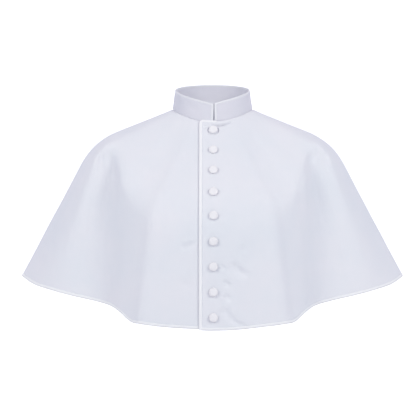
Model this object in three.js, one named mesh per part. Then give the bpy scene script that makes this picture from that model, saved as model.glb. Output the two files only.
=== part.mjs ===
// A clergy shoulder cape, worn with nothing inside: two fronts and a back, a standing collar, piped edges
// and nine covered buttons. The wearer's left front laps over the right.
// Millimetres. +Z is up, the wearer faces -Y and the wearer's left is +X.
// The origin is the middle of the neck, level with the collar seam at the shoulders.
import * as THREE from "three";
import { mergeVertices } from "three/addons/utils/BufferGeometryUtils.js";

const CLOTH = 1.6;
const COLLAR_CLOTH = 2.4;
const SEAM_GAP = 0.3;

// The neck opening is an oval that dips at the front and rises at the back.
const NECK_HALF_WIDTH = 80;
const NECK_HALF_DEPTH = 64;
const NECK_FRONT_DROP = 28;
const NECK_BACK_RISE = 15.5;
const NECK_DIP_POWER = 1.8;

const COLLAR_TOP_HALF_WIDTH = 74;
const COLLAR_TOP_HALF_DEPTH = 57.5;
const COLLAR_TOP_FRONT_Z = 8.5;
const COLLAR_TOP_SIDE_Z = 40.5;
const COLLAR_TOP_BACK_Z = 54.5;
const COLLAR_LEFT_END_X = 4.6;
const COLLAR_RIGHT_END_X = 0.8;

const LAP_EDGE_X = -26;
const UNDERLAP_EDGE_X = 28;
const LAP_CORNER_RADIUS = 9;
const LAP_FADE_FROM_X = 34;
const LAP_FADE_TO_X = 104;
const LAP_LIFT = 2.5;
const LAP_HEM_DROP = 2;

const PIPING_WIDTH = 4.6;
const PIPING_DEPTH = 2.2;
const COLLAR_PIPING_WIDTH = 3.4;
const COLLAR_PIPING_DEPTH = 3;
const COLLAR_PIPING_CORNER = 1.9;
const LAP_PIPING_RISE = 0.8;
const PIPING_SIDES = 6;
const LAP_INSET = PIPING_WIDTH + SEAM_GAP;

const BUTTON_COUNT = 9;
const BUTTON_X = 1.2;
const BUTTON_RADIUS = 9.1;
const BUTTON_HEIGHT = 4.6;
const BUTTON_RIM_HEIGHT = 1.4;
const BUTTON_FOOT_RADIUS = 7.4;
const FIRST_BUTTON_FROM_NECK = 22;
const BUTTON_SPACING = 47.9;

// The cloth falls from the neck along drop lines, each straight to a shelf, where the chest, shoulder or
// back turns it down, and straight again to the hem. A row for each line, from the centre front round the
// wearer's left side to the centre back. "soften" is how far the turn reaches up and down the line.
const DROP_LINES = [
  { shelfX: 0, shelfY: -176, shelfZ: -194.5, hemX: 0, hemY: -176, hemZ: -425.5, soften: 64 },
  { shelfX: 50, shelfY: -175.5, shelfZ: -194.5, hemX: 56, hemY: -175.5, hemZ: -423.5, soften: 62 },
  { shelfX: 88, shelfY: -173.5, shelfZ: -194.5, hemX: 102, hemY: -174.5, hemZ: -420, soften: 56 },
  { shelfX: 112, shelfY: -171, shelfZ: -194, hemX: 137, hemY: -170.5, hemZ: -415.5, soften: 36 },
  { shelfX: 131, shelfY: -158, shelfZ: -187, hemX: 157, hemY: -154, hemZ: -412, soften: 28 },
  { shelfX: 154, shelfY: -140, shelfZ: -168, hemX: 180, hemY: -133, hemZ: -394, soften: 26 },
  { shelfX: 177, shelfY: -118, shelfZ: -131, hemX: 201, hemY: -105, hemZ: -384, soften: 22 },
  { shelfX: 191, shelfY: -80, shelfZ: -84, hemX: 233, hemY: -95, hemZ: -375.5, soften: 18 },
  { shelfX: 208, shelfY: -79, shelfZ: -74, hemX: 275, hemY: -87, hemZ: -366.5, soften: 24 },
  { shelfX: 224, shelfY: -75, shelfZ: -77, hemX: 317, hemY: -71, hemZ: -356.5, soften: 32 },
  { shelfX: 235.5, shelfY: -42, shelfZ: -70, hemX: 354, hemY: -42, hemZ: -346, soften: 44 },
  { shelfX: 237.5, shelfY: 0, shelfZ: -62.5, hemX: 381, hemY: 0, hemZ: -331.5, soften: 52 },
  { shelfX: 231, shelfY: 22, shelfZ: -65.5, hemX: 357, hemY: 37, hemZ: -345.5, soften: 46 },
  { shelfX: 219, shelfY: 44, shelfZ: -72.5, hemX: 319, hemY: 62, hemZ: -355.5, soften: 38 },
  { shelfX: 205, shelfY: 64, shelfZ: -81.5, hemX: 277, hemY: 80, hemZ: -365.5, soften: 40 },
  { shelfX: 190, shelfY: 82, shelfZ: -90.5, hemX: 238, hemY: 94, hemZ: -373.5, soften: 42 },
  { shelfX: 173, shelfY: 96, shelfZ: -98.5, hemX: 207, hemY: 108, hemZ: -382.5, soften: 44 },
  { shelfX: 153, shelfY: 107, shelfZ: -103.5, hemX: 184, hemY: 132, hemZ: -393.5, soften: 46 },
  { shelfX: 130, shelfY: 114, shelfZ: -104.5, hemX: 161, hemY: 157, hemZ: -405.5, soften: 48 },
  { shelfX: 102, shelfY: 118, shelfZ: -100.5, hemX: 128, hemY: 168, hemZ: -415.5, soften: 50 },
  { shelfX: 70, shelfY: 119, shelfZ: -91.5, hemX: 88, hemY: 160, hemZ: -422.5, soften: 50 },
  { shelfX: 35, shelfY: 119, shelfZ: -82.5, hemX: 44, hemY: 152, hemZ: -427.5, soften: 50 },
  { shelfX: 0, shelfY: 118, shelfZ: -78.5, hemX: 0, hemY: 157, hemZ: -429.5, soften: 50 },
];
const SIDE_LINE = 11;
const BACK_LINE = DROP_LINES.length - 1;
const ALL_LINES = 2 * BACK_LINE;

// How far down the cloth each ring of a panel lies, as shares of its length.
const RING_SHARES = [0, 0.05, 0.12, 0.2, 0.27, 0.33, 0.39, 0.45, 0.51, 0.59, 0.69, 0.79, 0.9, 1];
const LAP_CORNER_SHARES = [0.35, 1];
const FRONT_COLUMNS = 34;
const LAP_COLUMNS = 6;
const BACK_COLUMNS = 60;
const COLLAR_COLUMNS = 44;
const COLLAR_RINGS = 3;
const LAP_TOP_STEPS = 4;
const PIPING_CORNER_STEPS = 4;
const BUTTON_DOME_STEPS = 5;
const BUTTON_SIDES = 20;

const clothMaterial = new THREE.MeshStandardMaterial({ color: 0xe6e8f0, roughness: 0.85, metalness: 0 });
const pipingMaterial = new THREE.MeshStandardMaterial({ color: 0xf0f0f5, roughness: 0.6, metalness: 0 });
const buttonMaterial = new THREE.MeshStandardMaterial({ color: 0xeeeef3, roughness: 0.7, metalness: 0 });

const clamp01 = (value) => Math.min(1, Math.max(0, value));
const mix = (from, to, share) => from + (to - from) * share;
const smoothStep = (share) => share * share * (3 - 2 * share);

// One column of the drop-line table at any line number, as a closed smooth curve. Lines past the centre back
// mirror those of the wearer's left side, so x changes its sign there.
function columnAt(column, line) {
  const first = Math.floor(line);
  const share = line - first;
  const valueAt = (whole) => {
    const wrapped = ((whole % ALL_LINES) + ALL_LINES) % ALL_LINES;
    const mirrored = wrapped > BACK_LINE;
    const row = DROP_LINES[mirrored ? ALL_LINES - wrapped : wrapped];
    return mirrored && column.endsWith("X") ? -row[column] : row[column];
  };
  const [before, from, to, after] = [first - 1, first, first + 1, first + 2].map(valueAt);
  const startSlope = (to - before) / 2;
  const endSlope = (after - from) / 2;
  const square = share * share;
  const cube = square * share;
  return (
    (2 * cube - 3 * square + 1) * from +
    (cube - 2 * square + share) * startSlope +
    (3 * square - 2 * cube) * to +
    (cube - square) * endSlope
  );
}

// Angles round the neck run from 0 at the centre front to a half turn at the centre back.
function neckHeight(angle) {
  const forward = Math.cos(angle);
  const dip = Math.abs(forward) ** NECK_DIP_POWER;
  return forward > 0 ? -NECK_FRONT_DROP * dip : NECK_BACK_RISE * dip;
}

function neckPoint(angle) {
  const x = NECK_HALF_WIDTH * Math.sin(angle);
  const y = -NECK_HALF_DEPTH * Math.cos(angle);
  return new THREE.Vector3(x, y, neckHeight(angle));
}

const pointAt = (name, line) =>
  new THREE.Vector3(columnAt(name + "X", line), columnAt(name + "Y", line), columnAt(name + "Z", line));

// The pieces of one drop line: straight, a soft turn at the shelf, and straight again.
function dropLine(line) {
  const neck = neckPoint((line / ALL_LINES) * 2 * Math.PI);
  const shelf = pointAt("shelf", line);
  const hem = pointAt("hem", line);
  const soften = columnAt("soften", line);
  const turnStart = shelf.clone().add(neck.clone().sub(shelf).setLength(soften));
  const turnEnd = shelf.clone().add(hem.clone().sub(shelf).setLength(soften));
  const upper = neck.distanceTo(turnStart);
  const turn = (2 * turnStart.distanceTo(turnEnd) + 2 * soften) / 3;
  const lower = turnEnd.distanceTo(hem);
  return { neck, shelf, hem, turnStart, turnEnd, upper, turn, lower, length: upper + turn + lower };
}

// The outer face of the cloth, at a distance down the drop line from the neck.
function capePoint(line, fromNeck) {
  const drop = dropLine(line);
  if (fromNeck < drop.upper) return drop.neck.clone().lerp(drop.turnStart, fromNeck / drop.upper);
  const pastTurn = fromNeck - drop.upper - drop.turn;
  if (pastTurn > 0) return drop.turnEnd.clone().lerp(drop.hem, pastTurn / drop.lower);
  return new THREE.QuadraticBezierCurve3(drop.turnStart, drop.shelf, drop.turnEnd).getPoint(
    (fromNeck - drop.upper) / drop.turn,
  );
}

const LINE_STEP = 0.02;
const LENGTH_STEP = 0.5;
function capeAlongLine(line, fromNeck) {
  return capePoint(line, fromNeck + LENGTH_STEP)
    .sub(capePoint(line, fromNeck - LENGTH_STEP))
    .divideScalar(2 * LENGTH_STEP);
}
function capeAcrossLines(line, fromNeck) {
  return capePoint(line + LINE_STEP, fromNeck)
    .sub(capePoint(line - LINE_STEP, fromNeck))
    .divideScalar(2 * LINE_STEP);
}
function capeNormal(line, fromNeck) {
  return capeAlongLine(line, fromNeck).cross(capeAcrossLines(line, fromNeck)).normalize();
}

// The line number where the cloth is at a given x, searched for near the centre front by halving.
const SEARCH_REACH = 4;
const SEARCH_HALVINGS = 40;
function lineAtX(x, distanceAt) {
  let low = -SEARCH_REACH;
  let high = SEARCH_REACH;
  for (let halving = 0; halving < SEARCH_HALVINGS; halving++) {
    const middle = (low + high) / 2;
    if (capePoint(middle, distanceAt(middle)).x < x) low = middle;
    else high = middle;
  }
  return low;
}

// How far the lapping front stands off the one beneath it.
const lapShare = (x) => 1 - smoothStep(clamp01((x - LAP_FADE_FROM_X) / (LAP_FADE_TO_X - LAP_FADE_FROM_X)));
const lapLift = (x) => LAP_LIFT * lapShare(x);
const noLift = () => 0;
const noDrop = () => 0;

// The lap also hangs a little below the hem of the front beneath it.
const lapDrop = (line) => (line < SIDE_LINE ? LAP_HEM_DROP * lapShare(pointAt("hem", line).x) : 0);
const hemLength = (line, dropAt) => dropLine(line).length + dropAt(line);

function liftedPoint(line, fromNeck, liftAt, extra = 0) {
  const point = capePoint(line, fromNeck);
  return point.clone().addScaledVector(capeNormal(line, fromNeck), liftAt(point.x) + extra);
}

// A closed wall between two grids of points of the same shape, the outer one seen from outside.
function wallBetween(outer, inner) {
  const rows = outer.length;
  const columns = outer[0].length;
  const positions = [...outer.flat(), ...inner.flat()].flatMap((point) => point.toArray());
  const outerAt = (row, column) => row * columns + column;
  const innerAt = (row, column) => rows * columns + outerAt(row, column);
  const indices = [];
  const quad = (a, b, c, d) => indices.push(a, b, c, a, c, d);
  for (let row = 0; row + 1 < rows; row++) {
    for (let column = 0; column + 1 < columns; column++) {
      const [below, beside] = [row + 1, column + 1];
      quad(outerAt(row, column), outerAt(below, column), outerAt(below, beside), outerAt(row, beside));
      quad(innerAt(row, column), innerAt(row, beside), innerAt(below, beside), innerAt(below, column));
    }
    quad(outerAt(row, 0), innerAt(row, 0), innerAt(row + 1, 0), outerAt(row + 1, 0));
    const last = columns - 1;
    quad(outerAt(row, last), outerAt(row + 1, last), innerAt(row + 1, last), innerAt(row, last));
  }
  for (let column = 0; column + 1 < columns; column++) {
    quad(outerAt(0, column), outerAt(0, column + 1), innerAt(0, column + 1), innerAt(0, column));
    const last = rows - 1;
    quad(outerAt(last, column), innerAt(last, column), innerAt(last, column + 1), outerAt(last, column + 1));
  }
  return closedGeometry(positions, indices);
}

function closedGeometry(positions, indices) {
  const geometry = new THREE.BufferGeometry();
  geometry.setAttribute("position", new THREE.Float32BufferAttribute(positions, 3));
  geometry.setIndex(indices);
  geometry.computeVertexNormals();
  return geometry;
}

// A panel of the cape: rings down the cloth, each across the lines that linesAt gives for its distance down.
function capePanel({ linesAt, topAt = () => 0, cornerRings = [], liftAt = noLift, dropAt = noDrop }) {
  const outer = [];
  const inner = [];
  const addRing = (distanceAt) => {
    const lines = linesAt(distanceAt);
    outer.push(lines.map((line) => liftedPoint(line, distanceAt(line), liftAt)));
    inner.push(lines.map((line) => liftedPoint(line, distanceAt(line), liftAt, -CLOTH)));
  };
  addRing(topAt);
  cornerRings.forEach((distance) => addRing((line) => topAt(line) + distance));
  RING_SHARES.slice(1).forEach((share) => addRing((line) => share * (hemLength(line, dropAt) - LAP_INSET)));
  return wallBetween(outer, inner);
}

const evenSteps = (from, to, count) =>
  Array.from({ length: count }, (_, step) => mix(from, to, step / (count - 1)));

// The line a small distance to one side of a seam.
const lineBeside = (line, distanceAt, gap) => line + gap / capeAcrossLines(line, distanceAt(line)).length();

// The lapping front lies inside its piping: its top is cut lower from the lap's edge to the collar's end,
// and its corner is round.
const LAP_TOP_CUT = LAP_INSET - LAP_PIPING_RISE;
const LAP_PANEL_CORNER = LAP_CORNER_RADIUS - LAP_INSET;
const lapTopEndLine = () => lineAtX(COLLAR_RIGHT_END_X + SEAM_GAP, () => LAP_TOP_CUT);
function lapPanelEdgeX(belowTop) {
  const above = Math.max(0, LAP_PANEL_CORNER - belowTop);
  return LAP_EDGE_X + LAP_INSET + LAP_PANEL_CORNER - Math.sqrt(LAP_PANEL_CORNER ** 2 - above ** 2);
}

const lapTopCut = (line) => (line > lapTopEndLine() ? 0 : LAP_TOP_CUT);

// The lines that the points of a ring lie on, for each panel.
function leftFrontLines(distanceAt) {
  const lapEdge = lineAtX(lapPanelEdgeX(distanceAt(0) - LAP_TOP_CUT), distanceAt);
  const collarEnd = lineAtX(COLLAR_LEFT_END_X, () => 0);
  const sideSeam = lineBeside(SIDE_LINE, distanceAt, -SEAM_GAP / 2);
  const lapLines = evenSteps(lapEdge, lapTopEndLine(), LAP_COLUMNS);
  return [...lapLines, ...evenSteps(collarEnd, sideSeam, FRONT_COLUMNS)];
}
const backLines = (distanceAt) =>
  evenSteps(
    lineBeside(SIDE_LINE, distanceAt, SEAM_GAP / 2),
    lineBeside(ALL_LINES - SIDE_LINE, distanceAt, -SEAM_GAP / 2),
    BACK_COLUMNS,
  );
const rightFrontLines = (distanceAt) =>
  evenSteps(
    lineBeside(-SIDE_LINE, distanceAt, SEAM_GAP / 2),
    lineAtX(UNDERLAP_EDGE_X, distanceAt),
    FRONT_COLUMNS + LAP_COLUMNS,
  );

const leftFront = () =>
  capePanel({
    linesAt: leftFrontLines,
    topAt: lapTopCut,
    cornerRings: LAP_CORNER_SHARES.map((share) => share * LAP_PANEL_CORNER),
    liftAt: lapLift,
    dropAt: lapDrop,
  });
const back = () => capePanel({ linesAt: backLines });
const rightFront = () => capePanel({ linesAt: rightFrontLines });

// The collar's outer face, at an angle round the neck and a share of the height.
function collarTopHeight(angle) {
  const fromFront = Math.abs(Math.atan2(Math.sin(angle), Math.cos(angle))) / (Math.PI / 2);
  if (fromFront < 1) return mix(COLLAR_TOP_FRONT_Z, COLLAR_TOP_SIDE_Z, fromFront);
  return mix(COLLAR_TOP_SIDE_Z, COLLAR_TOP_BACK_Z, Math.sin((fromFront - 1) * (Math.PI / 2)));
}

function collarPoint(angle, share) {
  const top = new THREE.Vector3(
    COLLAR_TOP_HALF_WIDTH * Math.sin(angle),
    -COLLAR_TOP_HALF_DEPTH * Math.cos(angle),
    collarTopHeight(angle),
  );
  return neckPoint(angle).lerp(top, share);
}

const collarHeight = (angle) => collarPoint(angle, 0).distanceTo(collarPoint(angle, 1));

const ANGLE_STEP = 0.004;
const SHARE_STEP = 0.01;
function collarNormal(angle, share) {
  const round = collarPoint(angle + ANGLE_STEP, share).sub(collarPoint(angle - ANGLE_STEP, share));
  const up = collarPoint(angle, share + SHARE_STEP).sub(collarPoint(angle, share - SHARE_STEP));
  return round.cross(up).normalize();
}

// The angle at which the collar's face is at a given x, on the front.
const collarAngleAtX = (x, share) => Math.asin(x / mix(NECK_HALF_WIDTH, COLLAR_TOP_HALF_WIDTH, share));

function collar() {
  const inset = COLLAR_PIPING_WIDTH + SEAM_GAP;
  const outer = [];
  const inner = [];
  for (let ring = COLLAR_RINGS; ring >= 0; ring--) {
    const shareAt = (angle) => {
      const height = collarHeight(angle);
      return mix(SEAM_GAP / height, 1 - inset / height, ring / COLLAR_RINGS);
    };
    const start = collarAngleAtX(COLLAR_LEFT_END_X + inset, shareAt(0));
    const end = 2 * Math.PI + collarAngleAtX(COLLAR_RIGHT_END_X - inset, shareAt(0));
    const angles = evenSteps(start, end, COLLAR_COLUMNS);
    const facePoints = angles.map((angle) => collarPoint(angle, shareAt(angle)));
    outer.push(facePoints);
    inner.push(
      facePoints.map((point, i) =>
        point.clone().addScaledVector(collarNormal(angles[i], shareAt(angles[i])), -COLLAR_CLOTH),
      ),
    );
  }
  return wallBetween(outer, inner);
}

// A closed roll of piping through stations, each a point on its centre line and the cloth's normal there.
// Its width runs square to its length, or along a station's own direction.
function pipingRoll(stations, width, depth) {
  const rings = stations.map(({ point, normal, widthway }, i) => {
    const ahead = stations[Math.min(i + 1, stations.length - 1)].point;
    const behind = stations[Math.max(i - 1, 0)].point;
    const across = widthway ?? ahead.clone().sub(behind).cross(normal).normalize();
    return Array.from({ length: PIPING_SIDES }, (_, side) => {
      const turn = (side / PIPING_SIDES) * 2 * Math.PI;
      return point
        .clone()
        .addScaledVector(across, (width / 2) * Math.cos(turn))
        .addScaledVector(normal, (depth / 2) * Math.sin(turn));
    });
  });
  const positions = rings.flat().flatMap((point) => point.toArray());
  const at = (ring, side) => ring * PIPING_SIDES + (side % PIPING_SIDES);
  const indices = [];
  for (let ring = 0; ring + 1 < rings.length; ring++) {
    for (let side = 0; side < PIPING_SIDES; side++) {
      indices.push(at(ring, side), at(ring + 1, side), at(ring + 1, side + 1));
      indices.push(at(ring, side), at(ring + 1, side + 1), at(ring, side + 1));
    }
  }
  const last = rings.length - 1;
  for (let side = 1; side + 1 < PIPING_SIDES; side++) {
    indices.push(at(0, 0), at(0, side), at(0, side + 1));
    indices.push(at(last, 0), at(last, side + 1), at(last, side));
  }
  return closedGeometry(positions, indices);
}

// The piping's back lies level with the inside of the cloth that carries it.
const PIPING_LIFT = PIPING_DEPTH / 2 - CLOTH;
const capeStation = (line, fromNeck, liftAt) => ({
  point: liftedPoint(line, fromNeck, liftAt, PIPING_LIFT),
  normal: capeNormal(line, fromNeck),
});

// Along the free top of the lap, round its corner and down its edge to the hem.
function lapPiping() {
  const half = PIPING_WIDTH / 2;
  const topCentre = half - LAP_PIPING_RISE;
  const bend = LAP_CORNER_RADIUS - half;
  const edgeX = LAP_EDGE_X + half;
  const stationAtX = (x, distanceAt) => {
    const line = lineAtX(x, distanceAt);
    return capeStation(line, distanceAt(line), lapLift);
  };
  const stations = [];
  for (let step = 0; step < LAP_TOP_STEPS; step++) {
    const x = mix(COLLAR_RIGHT_END_X, edgeX + bend, step / LAP_TOP_STEPS);
    stations.push(stationAtX(x, () => topCentre));
  }
  for (let step = 0; step <= PIPING_CORNER_STEPS; step++) {
    const turn = (step / PIPING_CORNER_STEPS) * (Math.PI / 2);
    const belowNeck = topCentre + bend * (1 - Math.cos(turn));
    stations.push(stationAtX(edgeX + bend * (1 - Math.sin(turn)), () => belowNeck));
  }
  RING_SHARES.slice(1).forEach((share) => {
    const inset = share < 1 ? LAP_INSET : 0;
    stations.push(stationAtX(edgeX, (line) => share * (hemLength(line, lapDrop) - inset)));
  });
  return pipingRoll(stations, PIPING_WIDTH, PIPING_DEPTH);
}

// All round the hem, from the lap's edge round the back to the right front's edge under the lap.
function hemPiping() {
  const half = PIPING_WIDTH / 2;
  const lappedHem = (line) => hemLength(line, lapDrop) - half;
  const plainHem = (line) => dropLine(line).length - half;
  const hemStations = (lines, hemAt, liftAt) =>
    lines.map((line) => ({
      ...capeStation(line, hemAt(line), liftAt),
      widthway: capeAlongLine(line, hemAt(line)).normalize().negate(),
    }));
  const stations = [
    ...hemStations(leftFrontLines(lappedHem), lappedHem, lapLift),
    ...hemStations(backLines(plainHem), plainHem, noLift),
    ...hemStations(rightFrontLines(plainHem), plainHem, noLift),
  ];
  return pipingRoll(stations.reverse(), PIPING_WIDTH, PIPING_DEPTH);
}

// Up the collar's left end, round its top and down its right end.
function collarPiping() {
  const half = COLLAR_PIPING_WIDTH / 2;
  const corner = COLLAR_PIPING_CORNER;
  const bottom = LAP_PIPING_RISE + PIPING_DEPTH;
  const station = (angle, belowTop) => {
    const share = 1 - belowTop / collarHeight(angle);
    const normal = collarNormal(angle, share);
    return { point: collarPoint(angle, share).addScaledVector(normal, -COLLAR_CLOTH / 2), normal };
  };
  const fullHeight = collarHeight(0);
  const endStations = (endX, away) => {
    const reach = (aside, belowTop) =>
      station(collarAngleAtX(endX + away * (half + aside), 1 - belowTop / fullHeight), belowTop);
    const up = [fullHeight - bottom, fullHeight / 2].map((belowTop) => reach(0, belowTop));
    for (let step = 0; step <= PIPING_CORNER_STEPS; step++) {
      const turn = (step / PIPING_CORNER_STEPS) * (Math.PI / 2);
      up.push(reach(corner * (1 - Math.cos(turn)), half + corner * (1 - Math.sin(turn))));
    }
    return up;
  };
  const start = collarAngleAtX(COLLAR_LEFT_END_X + half + corner, 1);
  const end = 2 * Math.PI + collarAngleAtX(COLLAR_RIGHT_END_X - half - corner, 1);
  const rim = [];
  for (let step = 1; step < COLLAR_COLUMNS; step++) {
    rim.push(station(mix(start, end, step / COLLAR_COLUMNS), half));
  }
  const stations = [
    ...endStations(COLLAR_LEFT_END_X, 1),
    ...rim,
    ...endStations(COLLAR_RIGHT_END_X, -1).reverse(),
  ];
  return pipingRoll(stations.reverse(), COLLAR_PIPING_WIDTH, COLLAR_PIPING_DEPTH);
}

// A domed button with its cloth turned in underneath.
function buttonGeometry() {
  const profile = [new THREE.Vector2(0, 0), new THREE.Vector2(BUTTON_FOOT_RADIUS, 0)];
  for (let step = 0; step < BUTTON_DOME_STEPS; step++) {
    const turn = (step / BUTTON_DOME_STEPS) * (Math.PI / 2);
    const height = mix(BUTTON_RIM_HEIGHT, BUTTON_HEIGHT, Math.sin(turn));
    profile.push(new THREE.Vector2(BUTTON_RADIUS * Math.cos(turn), height));
  }
  profile.push(new THREE.Vector2(0, BUTTON_HEIGHT));
  const lathe = new THREE.LatheGeometry(profile, BUTTON_SIDES);
  lathe.deleteAttribute("normal");
  lathe.deleteAttribute("uv");
  const merged = mergeVertices(lathe);
  merged.computeVertexNormals();
  return merged;
}

function buttonMesh(geometry, number) {
  const fromNeck = FIRST_BUTTON_FROM_NECK + (number - 1) * BUTTON_SPACING;
  const line = lineAtX(BUTTON_X, () => fromNeck);
  const mesh = named(`button_${number}`, geometry, buttonMaterial);
  mesh.position.copy(liftedPoint(line, fromNeck, lapLift, SEAM_GAP));
  mesh.quaternion.setFromUnitVectors(new THREE.Vector3(0, 1, 0), capeNormal(line, fromNeck));
  return mesh;
}

function named(name, geometry, material) {
  const mesh = new THREE.Mesh(geometry, material);
  mesh.name = name;
  return mesh;
}

const cape = new THREE.Group();
cape.add(
  named("left_front", leftFront(), clothMaterial),
  named("right_front", rightFront(), clothMaterial),
  named("back", back(), clothMaterial),
  named("collar", collar(), clothMaterial),
  named("collar_piping", collarPiping(), pipingMaterial),
  named("lap_piping", lapPiping(), pipingMaterial),
  named("hem_piping", hemPiping(), pipingMaterial),
);
const buttonShape = buttonGeometry();
for (let number = 1; number <= BUTTON_COUNT; number++) cape.add(buttonMesh(buttonShape, number));

export default cape;
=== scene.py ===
"""A clergy shoulder cape, filled out with nothing inside it: cloth, bound edges, stitching and buttons.

Sizes are in millimetres and become metres when a mesh is made. +Z is up, the wearer faces -Y and the
wearer's left is +X. The cape's sizes are those of its solids.
"""

import math

import bpy
import numpy as np
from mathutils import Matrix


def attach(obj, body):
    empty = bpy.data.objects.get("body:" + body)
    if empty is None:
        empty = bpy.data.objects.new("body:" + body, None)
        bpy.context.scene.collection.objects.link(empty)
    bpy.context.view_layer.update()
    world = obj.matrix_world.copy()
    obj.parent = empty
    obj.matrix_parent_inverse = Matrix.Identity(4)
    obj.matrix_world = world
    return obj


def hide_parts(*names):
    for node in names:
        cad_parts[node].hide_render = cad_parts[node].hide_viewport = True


MM = 0.001

# The cape's own sizes.
CLOTH = 1.6
COLLAR_CLOTH = 2.4
SEAM_GAP = 0.3
NECK_HALF_WIDTH = 80
NECK_HALF_DEPTH = 64
NECK_FRONT_DROP = 28
NECK_BACK_RISE = 15.5
NECK_DIP_POWER = 1.8
COLLAR_TOP_HALF_WIDTH = 74
COLLAR_TOP_HALF_DEPTH = 57.5
COLLAR_TOP_FRONT_Z = 8.5
COLLAR_TOP_SIDE_Z = 40.5
COLLAR_TOP_BACK_Z = 54.5
COLLAR_LEFT_END_X = 4.6
COLLAR_RIGHT_END_X = 0.8
COLLAR_END_DRAW = 1.2
COLLAR_SEAM_GAP = 0.05
LAP_EDGE_X = -26
UNDERLAP_EDGE_X = 28
LAP_CORNER_RADIUS = 9
LAP_FADE_FROM_X = 34
LAP_FADE_TO_X = 104
LAP_LIFT = 2.5
LAP_HEM_DROP = 2
LAP_EDGE_CURL = 0.3
LAP_CURL_REACH = 14
LAP_LIFT_AT_NECK = 2.2
LAP_RISE_LENGTH = 16
BINDING_WIDTH = 4.6
BINDING_DEPTH = 2.2
COLLAR_BINDING_WIDTH = 3.4
COLLAR_BINDING_DEPTH = 3
COLLAR_BINDING_CORNER = 1.9
COLLAR_BINDING_FOOT = 1.2
LAP_BINDING_RISE = 2.6
LAP_BINDING_END_X = 9
LAP_BINDING_TAPER = 5
LAP_BINDING_END_SIZE = 0.3
INSET = BINDING_WIDTH + SEAM_GAP
COLLAR_INSET = COLLAR_BINDING_WIDTH + SEAM_GAP
BUTTON_COUNT = 9
BUTTON_X = 1.2
BUTTON_RADIUS = 9.1
BUTTON_DROOP = 0.3
BUTTON_SHANK = 0.2
FIRST_BUTTON_FROM_NECK = 22
BUTTON_SPACING = 47.9

# The drop lines that the cloth falls along, from the centre front by the wearer's left to the centre back.
DROP_COLUMNS = ("shelf_x", "shelf_y", "shelf_z", "hem_x", "hem_y", "hem_z", "soften")
DROP_LINES = (
    (0, -176, -194.5, 0, -176, -425.5, 64),
    (50, -175.5, -194.5, 56, -175.5, -423.5, 62),
    (88, -173.5, -194.5, 102, -174.5, -420, 56),
    (112, -171, -194, 137, -170.5, -415.5, 36),
    (131, -158, -187, 157, -154, -412, 28),
    (154, -140, -168, 180, -133, -394, 26),
    (177, -118, -131, 201, -105, -384, 22),
    (191, -80, -84, 233, -95, -375.5, 18),
    (208, -79, -74, 275, -87, -366.5, 24),
    (224, -75, -77, 317, -71, -356.5, 32),
    (235.5, -42, -70, 354, -42, -346, 44),
    (237.5, 0, -62.5, 381, 0, -331.5, 52),
    (231, 22, -65.5, 357, 37, -345.5, 46),
    (219, 44, -72.5, 319, 62, -355.5, 38),
    (205, 64, -81.5, 277, 80, -365.5, 40),
    (190, 82, -90.5, 238, 94, -373.5, 42),
    (173, 96, -98.5, 207, 108, -382.5, 44),
    (153, 107, -103.5, 184, 132, -393.5, 46),
    (130, 114, -104.5, 161, 157, -405.5, 48),
    (102, 118, -100.5, 128, 168, -415.5, 50),
    (70, 119, -91.5, 88, 160, -422.5, 50),
    (35, 119, -82.5, 44, 152, -427.5, 50),
    (0, 118, -78.5, 0, 157, -429.5, 50),
)
SIDE_LINE = 11
BACK_LINE = len(DROP_LINES) - 1
ALL_LINES = 2 * BACK_LINE

# Where the cloth is rounded over the front of the shoulders: between which drop lines and how far from the
# neck, and over how many lines on each side.
EASE_FROM_LINE = 5.2
EASE_TO_LINE = 9.6
EASE_FADE_LINES = 1.4
EASE_START = 12
EASE_START_FADE = 40
EASE_END = 120
EASE_END_FADE = 60
EASE_REACH = 1.7
EASE_SAMPLES = 7
EASE_FALL = 0.4

# Soft creases pressed into the cloth or standing up from it. Each runs from a start to an end given as x and
# z, on the front or the back, and fades over a depth towards the sides. A height below 0 is a trough.
CREASE_FADE = 50
CREASE_BEND = 0.06
CREASE_OVERRUN = 0.15
CREASE_START_TAPER = 0.45
CREASE_END_TAPER = 0.55
CREASE_COLUMNS = ("face", "start_x", "start_z", "end_x", "end_z", "spread", "height")
CREASES = (
    ("front", -2, -36.6, 41, -28.2, 1.5, -4.8),
    ("front", 5, -38, 27, -32, 1.4, -2.6),
    ("front", 8, -43.5, 38, -35, 3.0, 1.0),
    ("front", -18, -41, -8, -38, 1.6, -1.6),
    ("front", -201, -78, -186, -150, 8.5, -3.2),
    ("front", -218, -78, -207, -150, 9, -4),
    ("front", 210, -76, 181, -128, 9, -3.8),
    ("front", 182, -118, 170, -205, 10, -3),
    ("front", 222, -80, 223, -122, 8, -2.8),
    ("front", 34, -300, 67, -325, 8.5, -4.0),
    ("front", 14, -306, 27, -312, 4.0, -2.2),
    ("front", 48, -300, 80, -318, 8.0, 1.2),
    ("front", 52, -267, 63, -279, 4.5, -1.2),
    ("front", 20, -334.5, 35, -343.5, 4.2, -3.0),
    ("front", 22, -361, 37, -369, 4.6, -2.8),
    ("front", 21, -386, 42, -411, 6.5, -3.0),
    ("front", 34, -408, 66, -417.5, 4.0, -2.6),
    ("front", -60, -272, -32, -262, 5.5, -1.8),
    ("front", -58, -261, -34, -252, 5.5, 0.7),
    ("front", -66, -330, -34, -347, 8.0, -0.9),
    ("back", -62, -215, -30, -232, 6.5, -2.4),
    ("back", 40, -290, 76, -311, 7.0, -2.8),
    ("back", 40, -279, 74, -299, 7.0, 1.2),
    ("back", -24, -352, 8, -367, 6.0, -2.2),
    ("back", -92, -120, -60, -137, 7.0, -1.8),
)

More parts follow.
